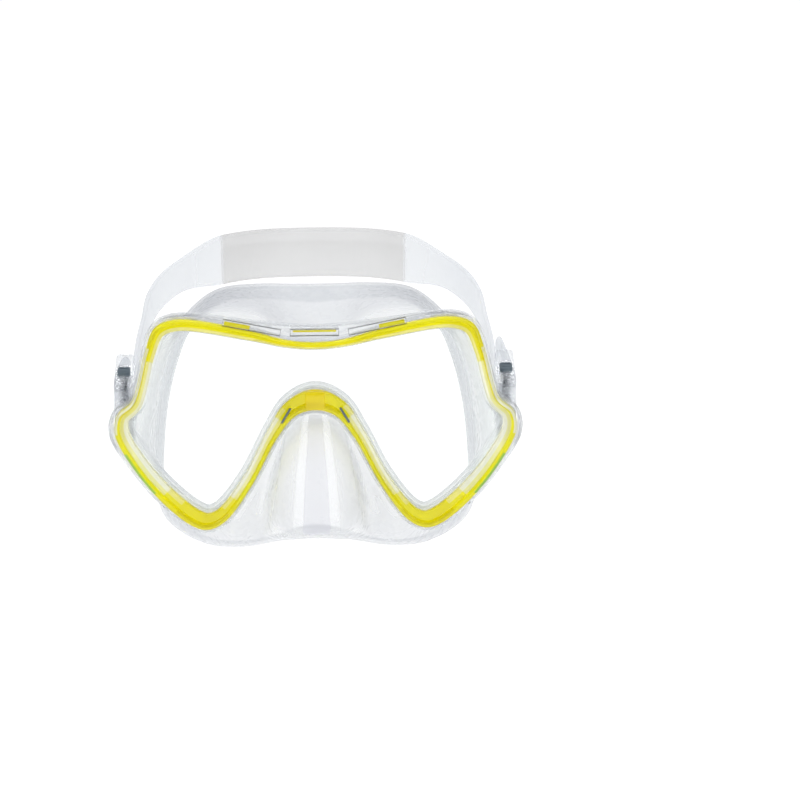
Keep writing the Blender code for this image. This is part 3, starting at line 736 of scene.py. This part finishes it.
def make_snaps():
    """The ring's snap tabs in the windows, the block over the nose, and the catches beside it."""
    along, above, half_x, half_z = SIDE_TAB
    for window, name in zip(RAIL_WINDOWS[1:], ("right", "left")):
        x, z, tilt = window[0], window[1], window[4]
        tab = (x + math.copysign(along, x), z + above, half_x, half_z, tilt)
        tilted_block(f"ring_tab_{name}", tab, FRAME_FRONT + TAB_SUNK, FRAME_FRONT + TAB_BACK, YELLOW,
                     "mask", bevel=0.3)
    above, half_x, half_z = MIDDLE_TAB
    tab = (0.0, RAIL_WINDOWS[0][1] + above, half_x, half_z, 0.0)
    tilted_block("ring_tab_middle", tab, FRAME_FRONT + MIDDLE_SUNK, FRAME_FRONT + TAB_BACK, AMBER,
                 "mask", bevel=0.2)
    low = (-NOSE_BLOCK_HALF_X, RING_FRONT - NOSE_BLOCK_PROUD, NOSE_BLOCK_Z[0])
    high = (NOSE_BLOCK_HALF_X, -GAP - 0.1, NOSE_BLOCK_Z[1])
    block("nose_block", low, high, AMBER, "mask", bevel=NOSE_BLOCK_BEVEL)
    x, z, half_x, half_z, tilt = CATCH
    for name, side in SIDES.items():
        slit = (side * x, z, half_x, half_z, side * tilt)
        tilted_block(f"nose_catch_{name}", slit, RING_FRONT - CATCH_PROUD, RING_FRONT + CATCH_BACK,
                     GREY, "mask", bevel=0.15)


# ---------------------------------------------------------------- skirt

def seal_depth(x, z):
    """Depth of the wearer's face where the seal touches it."""
    return SEAL_DEPTH + SEAL_SWEEP * (x / SWEEP_X) ** 2 + SEAL_LEAN * (max(z, 0.0) / LEAN_Z) ** 2


def seal_edge(i):
    """The end of a column of stations: the roll behind its fold, and the edge of its lip."""
    fold_x, fold_z = SEAL[i]
    fold = Vector((fold_x, seal_depth(fold_x, fold_z), fold_z))
    inwards = Vector((-fold_x, 0, SEAL_MIDDLE_Z - fold_z)).normalized()
    length = SEAL_LIP + (SEAL_LIP_SIDE - SEAL_LIP) * fold_x / SEAL_HALF_X
    if i >= POCKET_START:
        length *= NOSE_LIP
    lip = fold + inwards * length
    lip.y = seal_depth(lip.x, lip.z) + LIP_BACK
    back = fold + inwards * SEAL_ROLL[0]
    back.y = fold.y + SEAL_ROLL[1]
    return [back, lip]


def wall_stations():
    """Rings of stations of the skirt's outer surface, from the frame back to the edge of the sealing lip."""
    loop = spline(mirrored(OUTLINE), 1)
    normals = outward(loop)
    columns = []
    for i in range(len(OUTLINE)):
        point = (*loop[i], *normals[i])
        x, z = offset(point, WALL_INSET - OUTLINE[i][2])
        fold_x, fold_z = SEAL[i]
        start = Vector((x, FRAME_DEPTH + WALL_START, z))
        fold = Vector((fold_x, seal_depth(fold_x, fold_z), fold_z))
        if i >= POCKET_START:
            tx, tz = offset(point, POCKET_TURN[0])
            turn = Vector((tx, FRAME_DEPTH + POCKET_TURN[1], tz))
            middle = [turn] + [Vector(p) for p in POCKET[i - POCKET_START]]
        else:
            tuck = max(0.0, min(1.0, (x - fold_x) / TUCK_WIDTH))
            middle = []
            for back, wide, tucked in WALL_SHAPE:
                step = start.lerp(fold, wide + (tucked - wide) * tuck)
                step.y = start.y + (fold.y - start.y) * back
                middle.append(step)
        columns.append([Vector((x, FLANGE_DEPTH - GAP, z)), start, *middle, fold, *seal_edge(i)])
    return [mirrored([tuple(column[k]) for column in columns]) for k in range(len(columns[0]))]


def skirt_surface():
    """Rings of points of the skirt's outer surface."""
    rings = [spline(ring, SPAN_STEPS) for ring in wall_stations()]
    for i, point in enumerate(outline()):
        x, z = offset(point, WALL_INSET - point[2])
        rings[0][i] = Vector((x, FLANGE_DEPTH - GAP, z))
        rings[1][i] = Vector((x, FRAME_DEPTH + WALL_START, z))
    columns = [spline([ring[i] for ring in rings], WALL_STEPS, closed=False) for i in range(len(rings[0]))]
    return [[column[k] for column in columns] for k in range(len(columns[0]))]


def surface_normals(rings):
    """Normals of a surface of rings, pointing out of the mask."""
    count, depth = len(rings[0]), len(rings)
    made = []
    for r in range(depth):
        row = []
        for i in range(count):
            around = rings[r][(i + 1) % count] - rings[r][i - 1]
            along = rings[min(r + 1, depth - 1)][i] - rings[max(r - 1, 0)][i]
            row.append(around.cross(along).normalized())
        made.append(row)
    return made


def rib(point):
    """How far the nose pocket's upright ribs stand out at a point of its front."""
    if not RIB_FOOT < point.z < RIB_TOP:
        return 0.0
    fade = min(1.0, (RIB_TOP - point.z) / RIB_FADE, (point.z - RIB_FOOT) / RIB_FADE)
    high = 0.0
    for x, spread, width, height in RIBS:
        middle = x + spread * (RIB_TOP - point.z)
        high += height * math.exp(-(((abs(point.x) - middle) / width) ** 2))
    edge = PANEL_X + PANEL_SPREAD * (RIB_TOP - point.z)
    high += PANEL_HEIGHT * smooth_step(edge + PANEL_SLOPE - abs(point.x), 0.0, 2 * PANEL_SLOPE)
    return high * fade


def pocket_band(i, point):
    """Which silicone an outer face takes: 1, with painted shade, on the pocket's front panel, 2, with a
    painted highlight, on its flutes and along its foot, else 0.
    """
    if not RIB_FOOT < point.z < RIB_TOP or point.y > BAND_DEPTH:
        return 0
    middle = (len(OUTLINE) - 1) * SPAN_STEPS
    away = abs(i + 0.5 - middle)
    if point.z < RIB_FOOT + FOOT_BAND and away < 2 * SPAN_STEPS:
        return 2
    if away < FLUTE_COLUMNS[0] * SPAN_STEPS:
        return 1
    return 2 if away < FLUTE_COLUMNS[1] * SPAN_STEPS else 0


def seat_rings():
    """Rings of the seat round the lens, from the skirt's opening to the flange."""
    behind = LENS_THICKNESS + GAP
    seat = []
    for out, depth in (
        (lambda w: -w - OPENING_INSET, behind + 0.5),
        (lambda w: 0.4 - w - OPENING_INSET, behind),
        (lambda w: -SKIRT_LIP, behind),
        (lambda w: -SKIRT_LIP, 0.0),
        (lambda w: 0.0, 0.0),
        (lambda w: 0.0, FLANGE_DEPTH - GAP),
    ):
        ring = []
        for point in outline():
            x, z = offset(point, out(point[2]))
            ring.append((x, depth, z))
        seat.append(ring)
    return seat


def make_skirt():
    """The skirt as one closed wall: the seat round the lens, the outer surface, and back inside it."""
    outer = skirt_surface()
    last = len(outer) - 1
    inner = []
    for r, across in enumerate(surface_normals(outer)):
        wall = SKIRT_WALL + (SEAL_WALL - SKIRT_WALL) * r / last
        inner.append([p - n * wall for p, n in zip(outer[r], across)])
        outer[r] = [p + n * rib(p) for p, n in zip(outer[r], across)]
    seat = seat_rings()
    rings = seat + [[tuple(p) for p in ring] for ring in outer + inner[:0:-1]]
    points, faces = loft(rings)
    piece = new_piece("silicone_skirt", points, faces, SKIRT, "mask", sharp=60.0)
    # The pocket's front panel takes the painted shade, its flutes and foot the painted highlight.
    piece.data.materials.append(NOSE_PANEL_SHADE)
    piece.data.materials.append(FLUTE_HIGHLIGHT)
    for face in piece.data.polygons:
        row, i = divmod(face.index, len(outer[0]))
        if len(seat) <= row < len(seat) + last:
            face.material_index = pocket_band(i, outer[row - len(seat)][i])
    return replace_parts(piece, "skirt")


# ---------------------------------------------------------------- buckles and strap

BUCKLE_BODY = {"left": "left_buckle_and_strap", "right": "right_buckle"}


def buckle_frame(side):
    """Turns a buckle's own millimetres into metres, tilted about the pivot."""
    turn = Matrix.Rotation(STRAP_RISE, 3, "X")

    def to_part(x, y, z):
        tilted = turn @ Vector((0, y, z))
        return place(side * (BUCKLE_X + x), PIVOT_DEPTH + tilted.y, PIVOT_Z + tilted.z)

    return to_part


def make_buckle(side_name, side):
    """Clear buckle body: a window for the strap between two rails, each rail with a pocket for a button."""
    to_part = buckle_frame(side)
    wide, reach = BODY_HALF_X, BODY_HALF_X + 1
    low, high = (-wide, BODY_FRONT, -BODY_HALF_Z), (wide, BODY_BACK, BODY_HALF_Z)
    piece = block(f"clear_buckle_{side_name}", low, high, THIN_CLEAR, BUCKLE_BODY[side_name],
                  to_part, BODY_BEVEL, 5)
    slot_x = EAR_THICKNESS / 2 + GAP
    slot_y = math.hypot(EAR_HEIGHT / 2, EAR_HEIGHT / 2) + GAP
    slot_z = slot_y + EAR_PLAY
    cuts = [
        ((-reach, WINDOW_FRONT, -WINDOW_HALF_Z), (reach, BODY_BACK + 1, WINDOW_HALF_Z)),
        ((-slot_x, BODY_FRONT - 1, -slot_z), (slot_x, slot_y, slot_z)),
    ]
    half_x, half_y = BUTTON_SIZE[0] / 2 + GAP, BUTTON_SIZE[1] / 2 + GAP
    for end in (1, -1):
        z0, z1 = sorted((end * FORK_HALF_Z, end * (BODY_HALF_Z + 1)))
        cuts.append(((-reach, BODY_FRONT - 1, z0), (reach, RAIL_FRONT, z1)))
        z0, z1 = sorted((end * POCKET_FLOOR, end * (BODY_HALF_Z + 1)))
        cuts.append(((-half_x, BUTTON_Y - half_y, z0), (half_x, BUTTON_Y + half_y, z1)))
    for low, high in cuts:
        cut(piece, block("cutter", low, high, CLEAR, to_part=to_part))
    bore = ((-reach, PIVOT_RADIUS + GAP), (reach, PIVOT_RADIUS + GAP))
    cut(piece, turned("bore", "x", (0, 0, 0), bore, CLEAR, to_part))
    deep = WINDOW_HALF_Z + PIN_REACH
    for y, radius in ((ROLLER_Y, ROLLER_PIN), (PAWL_Y, PAWL_PIN)):
        hole = ((-deep, radius + GAP), (deep, radius + GAP))
        cut(piece, turned("hole", "z", (0, y, 0), hole, CLEAR, to_part))
    soften(piece, BODY_EDGE, 2)
    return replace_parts(piece, f"buckle_body_{side_name}")


def make_button(side_name, side, word, end):
    """A grey button with rounded edges and two grip ribs on its pressed face."""
    to_part = buckle_frame(side)
    half_x, half_y, height = BUTTON_SIZE[0] / 2, BUTTON_SIZE[1] / 2, BUTTON_SIZE[2]
    z0, z1 = sorted((end * (BUTTON_TOP - height), end * (BUTTON_TOP - GRIP_HEIGHT)))
    body = f"{side_name}_{word}_button"
    piece = block(f"grey_button_{word}_{side_name}", (-half_x, BUTTON_Y - half_y, z0),
                  (half_x, BUTTON_Y + half_y, z1), GREY, body, to_part, BUTTON_BEVEL, 4)
    z0, z1 = sorted((end * (BUTTON_TOP - GRIP_ROOT), end * BUTTON_TOP))
    for y in (BUTTON_Y - GRIP_Y, BUTTON_Y + GRIP_Y):
        low, high = (GRIP_INSET - half_x, y - GRIP_HALF_Y, z0), (half_x - GRIP_INSET, y + GRIP_HALF_Y, z1)
        cut(piece, block("grip", low, high, GREY, to_part=to_part, bevel=GRIP_BEVEL), "UNION")
    piece.data.shade_smooth()
    piece.data.set_sharp_from_angle(angle=math.radians(40))
    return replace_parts(piece, f"button_{word}_{side_name}")


def make_spring(side_name, side, word, end):
    """The coil spring under a button."""
    to_part = buckle_frame(side)
    bottom = POCKET_FLOOR + SPRING_PLAY + SPRING_WIRE
    top = BUTTON_TOP - BUTTON_SIZE[2] - SPRING_PLAY - SPRING_WIRE
    steps = SPRING_SIDES * SPRING_TURNS
    rings = []
    for k in range(steps + 1):
        angle = math.tau * SPRING_TURNS * k / steps
        height = end * (bottom + (top - bottom) * k / steps)
        ring = []
        for j in range(WIRE_SIDES):
            turn = math.tau * j / WIRE_SIDES
            radius = SPRING_RADIUS + SPRING_WIRE * math.cos(turn)
            ring.append((radius * math.cos(angle), BUTTON_Y + radius * math.sin(angle),
                         height + SPRING_WIRE * math.sin(turn)))
        rings.append(ring)
    points, faces = loft(rings, closed=False)
    piece = new_piece(f"coil_spring_{word}_{side_name}", points, faces, STEEL, BUCKLE_BODY[side_name],
                      to_part)
    foot = to_part(0, BUTTON_Y, end * (bottom - SPRING_WIRE))
    along = to_part(0, BUTTON_Y, end * top) - foot
    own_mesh(piece)
    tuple(foot)
    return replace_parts(piece, f"button_spring_{word}_{side_name}")


def strap_route():
    """The strap's centreline in a buckle's x and y, from the left tail round the head to the right tail."""
    wrap = ROLLER_RADIUS + GAP + BAND_THICKNESS / 2
    outside = BUCKLE_X + wrap
    tail = [(outside - 1.0, ROLLER_Y + 17), (outside, ROLLER_Y + 8), (outside, ROLLER_Y)]
    turn = []
    for k in range(1, TURN_STEPS):
        angle = math.pi * k / TURN_STEPS
        turn.append((BUCKLE_X + wrap * math.cos(angle), ROLLER_Y - wrap * math.sin(angle)))
    inside = BUCKLE_X - wrap
    temple = inside - TEMPLE_DRAW
    run = [
        (inside, ROLLER_Y), (inside, ROLLER_Y + 14), (inside - 0.5, ROLLER_Y + 36), (temple, CORNER_START),
    ]
    corner = []
    for k in range(1, TURN_STEPS):
        angle = math.pi / 2 * k / TURN_STEPS
        x = temple * math.cos(angle) ** CORNER_POWER[0]
        corner.append((x, CORNER_START + (LOOP_BACK - CORNER_START) * math.sin(angle) ** CORNER_POWER[1]))
    half = turn + run + corner
    left = [TAIL_END["left"], *tail, *half]
    right = [TAIL_END["right"], *tail, *half]
    return left + [(0.0, LOOP_BACK)] + [(-x, y) for x, y in right[::-1]]


def even(path, step):
    """The same path with points an even step apart."""
    lengths = [0.0]
    for a, b in zip(path, path[1:]):
        lengths.append(lengths[-1] + (b - a).length)
    count = int(lengths[-1] / step)
    made, k = [], 0
    for i in range(count + 1):
        want = lengths[-1] * i / count
        while k < len(lengths) - 2 and lengths[k + 1] < want:
            k += 1
        span = lengths[k + 1] - lengths[k] or 1.0
        made.append(path[k].lerp(path[k + 1], (want - lengths[k]) / span))
    return made, lengths[-1] / count


def strap_section(half, thick, groove):
    """Corners of the strap's section: thickness, height. The pad's inner face has a groove."""
    edge = min(STRAP_ROUND, thick)
    upper = [
        (thick, half - edge - TOOTH_INSET), (thick, half - edge), (thick * 0.75, half - edge * 0.4),
        (thick * 0.3, half), (-thick * 0.3, half), (-thick * 0.75, half - edge * 0.4), (-thick, half - edge),
    ]
    floor = groove * thick * GROOVE_DEPTH - thick
    dip = [
        (-thick, GROOVE_Z + GROOVE_HALF * 1.6), (floor, GROOVE_Z + GROOVE_HALF * 0.6),
        (floor, GROOVE_Z - GROOVE_HALF * 0.6), (-thick, GROOVE_Z - GROOVE_HALF * 1.6),
    ]
    return upper + dip + [(t, -z) for t, z in upper[::-1]]


def strap_ring(point, across, near, from_end):
    """The strap's section at a point of its route. near is 1 at the pad's end, and from_end is in mm."""
    pad = 1.0 - smooth_step(near, *PAD_EDGE)
    half = BAND_HALF_Z + (PAD_HALF_Z - BAND_HALF_Z) * (1.0 - smooth_step(near, 1.0, PAD_FADE))
    thick = (BAND_THICKNESS + (PAD_THICKNESS - BAND_THICKNESS) * pad) / 2
    rounding = math.sqrt(max(0.0, 1 - (1 - min(1.0, (from_end + 0.4) / END_LENGTH)) ** 2))
    ribbed = TOOTHED[0] < from_end < TOOTHED[1] and math.sin(math.tau * from_end / TOOTH_PITCH) > 0.2
    ring = []
    for out, z in strap_section(half, thick, pad):
        if ribbed and out > thick * 0.9 and abs(z) < half - 2 * TOOTH_INSET:
            out += TOOTH_HEIGHT
        x, y = point.x + across.x * out - BUCKLE_X, point.y + across.y * out
        ring.append((x, y, z * max(rounding, END_TIP)))
    return ring


def make_strap():
    """The strap: ribbed ends, smooth sides, and the thicker, wider, grooved pad behind the head."""
    route = [Vector((x, y, 0.0)) for x, y in strap_route()]
    path, step = even(spline(route, ROUTE_STEPS, closed=False), STRAP_STEP)
    rings, on_pad = [], []
    last = len(path) - 1
    for i, point in enumerate(path):
        along = path[min(i + 1, last)] - path[max(i - 1, 0)]
        across = Vector((-along.y, along.x)).normalized()
        near = abs(point.x) / PAD_HALF_X if point.y > CORNER_START else 2 * PAD_FADE
        rings.append(strap_ring(point, across, near, min(i, last - i) * step))
        on_pad.append(near < 1.0)
    points, faces = loft(rings, closed=False)
    piece = new_piece("silicone_strap", points, faces, STRAP, "left_buckle_and_strap",
                      buckle_frame(1), 50.0)
    piece.data.materials.append(PAD)
    count = len(rings[0])
    for face in piece.data.polygons:
        if on_pad[min(min(face.vertices) // count, last)]:
            face.material_index = 1
    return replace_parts(piece, "strap")


# ---------------------------------------------------------------- carried-over nodes

def finish_nodes():
    """Better materials on the CAD nodes that stay."""
    for name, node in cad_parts.items():
        if node.hide_render:
            continue
        clear = name.startswith(("strap_roller", "strap_pawl"))
        node.data.materials.clear()
        node.data.materials.append(THIN_CLEAR if clear else STEEL)


# ---------------------------------------------------------------- stage, light and camera

CAMERA_DISTANCE = 1.2
CAMERA_RISE = math.radians(12)
CAMERA_ROLL = math.radians(-0.7)
CAMERA_SHIFT = (0.1056, 0.029)
FOCAL_LENGTH = 129.6


def make_camera():
    """A long lens in front of the mask and above it, its picture shifted to leave room at the side."""
    data = bpy.data.cameras.new("camera")
    data.sensor_width = 36.0
    data.lens = FOCAL_LENGTH
    data.shift_x, data.shift_y = CAMERA_SHIFT
    data.clip_end = 100.0
    camera = bpy.data.objects.new("camera", data)
    bpy.context.scene.collection.objects.link(camera)
    back = Vector((0, -math.cos(CAMERA_RISE), math.sin(CAMERA_RISE))) * CAMERA_DISTANCE
    tilt = Matrix.Rotation(math.pi / 2 - CAMERA_RISE, 4, "X") @ Matrix.Rotation(CAMERA_ROLL, 4, "Z")
    camera.matrix_world = Matrix.Translation(place(0, 0, 0) + back) @ tilt
    bpy.context.scene.camera = camera


def make_floor():
    size = 30.0
    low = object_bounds()[0][2] - 0.001
    mesh = bpy.data.meshes.new("floor")
    mesh.from_pydata([(-size, -size, low), (size, -size, low), (size, size, low), (-size, size, low)], [],
                     [(0, 1, 2, 3)])
    mesh.materials.append(stage_material())
    floor = bpy.data.objects.new("floor", mesh)
    bpy.context.scene.collection.objects.link(floor)
    floor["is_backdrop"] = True


def make_light(name, place_at, size, power):
    data = bpy.data.lights.new(name, "AREA")
    data.shape = "RECTANGLE"
    data.size, data.size_y = size
    data.energy = power
    light = bpy.data.objects.new(name, data)
    light.location = place_at
    light.rotation_euler = (-Vector(place_at)).to_track_quat("-Z", "Y").to_euler()
    bpy.context.scene.collection.objects.link(light)


def make_world():
    """Bright above, darker round the horizon, so that clear edges show."""
    world = bpy.data.worlds.new("studio")
    world.use_nodes = True
    tree = world.node_tree
    back = tree.nodes["Background"]
    where = tree.nodes.new("ShaderNodeTexCoord")
    split = tree.nodes.new("ShaderNodeSeparateXYZ")
    ramp = tree.nodes.new("ShaderNodeValToRGB")
    tree.links.new(where.outputs["Generated"], split.inputs[0])
    tree.links.new(split.outputs["Z"], ramp.inputs[0])
    tree.links.new(ramp.outputs[0], back.inputs[0])
    ramp.color_ramp.elements[0].position = 0.0
    ramp.color_ramp.elements[0].color = (0.30, 0.32, 0.35, 1)
    ramp.color_ramp.elements[1].position = 0.45
    ramp.color_ramp.elements[1].color = (0.95, 0.97, 1.0, 1)
    back.inputs[1].default_value = 0.55
    bpy.context.scene.world = world


def make_stage():
    make_floor()
    make_light("top_softbox", (0.0, 0.1, 1.4), (1.6, 1.2), 7.0)
    make_light("left_softbox", (-1.1, -0.8, 0.7), (0.3, 1.2), 4.5)
    make_light("right_softbox", (1.1, -0.9, 0.5), (0.25, 1.2), 3.5)
    make_world()
    bpy.context.scene.view_settings.view_transform = "Standard"


# ---------------------------------------------------------------- the whole scene

make_camera()
make_lens()
make_ring()
make_frame()
make_window_rims()
make_snaps()
make_skirt()
for side_name, side in SIDES.items():
    make_buckle(side_name, side)
    for word, end in (("upper", 1), ("lower", -1)):
        make_button(side_name, side, word, end)
        make_spring(side_name, side, word, end)
make_strap()
finish_nodes()
make_stage()


def plain(bounds):
    return [[float(c) for c in corner] for corner in bounds]


{"cad": plain(cad_bounds), "visual": plain(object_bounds())}
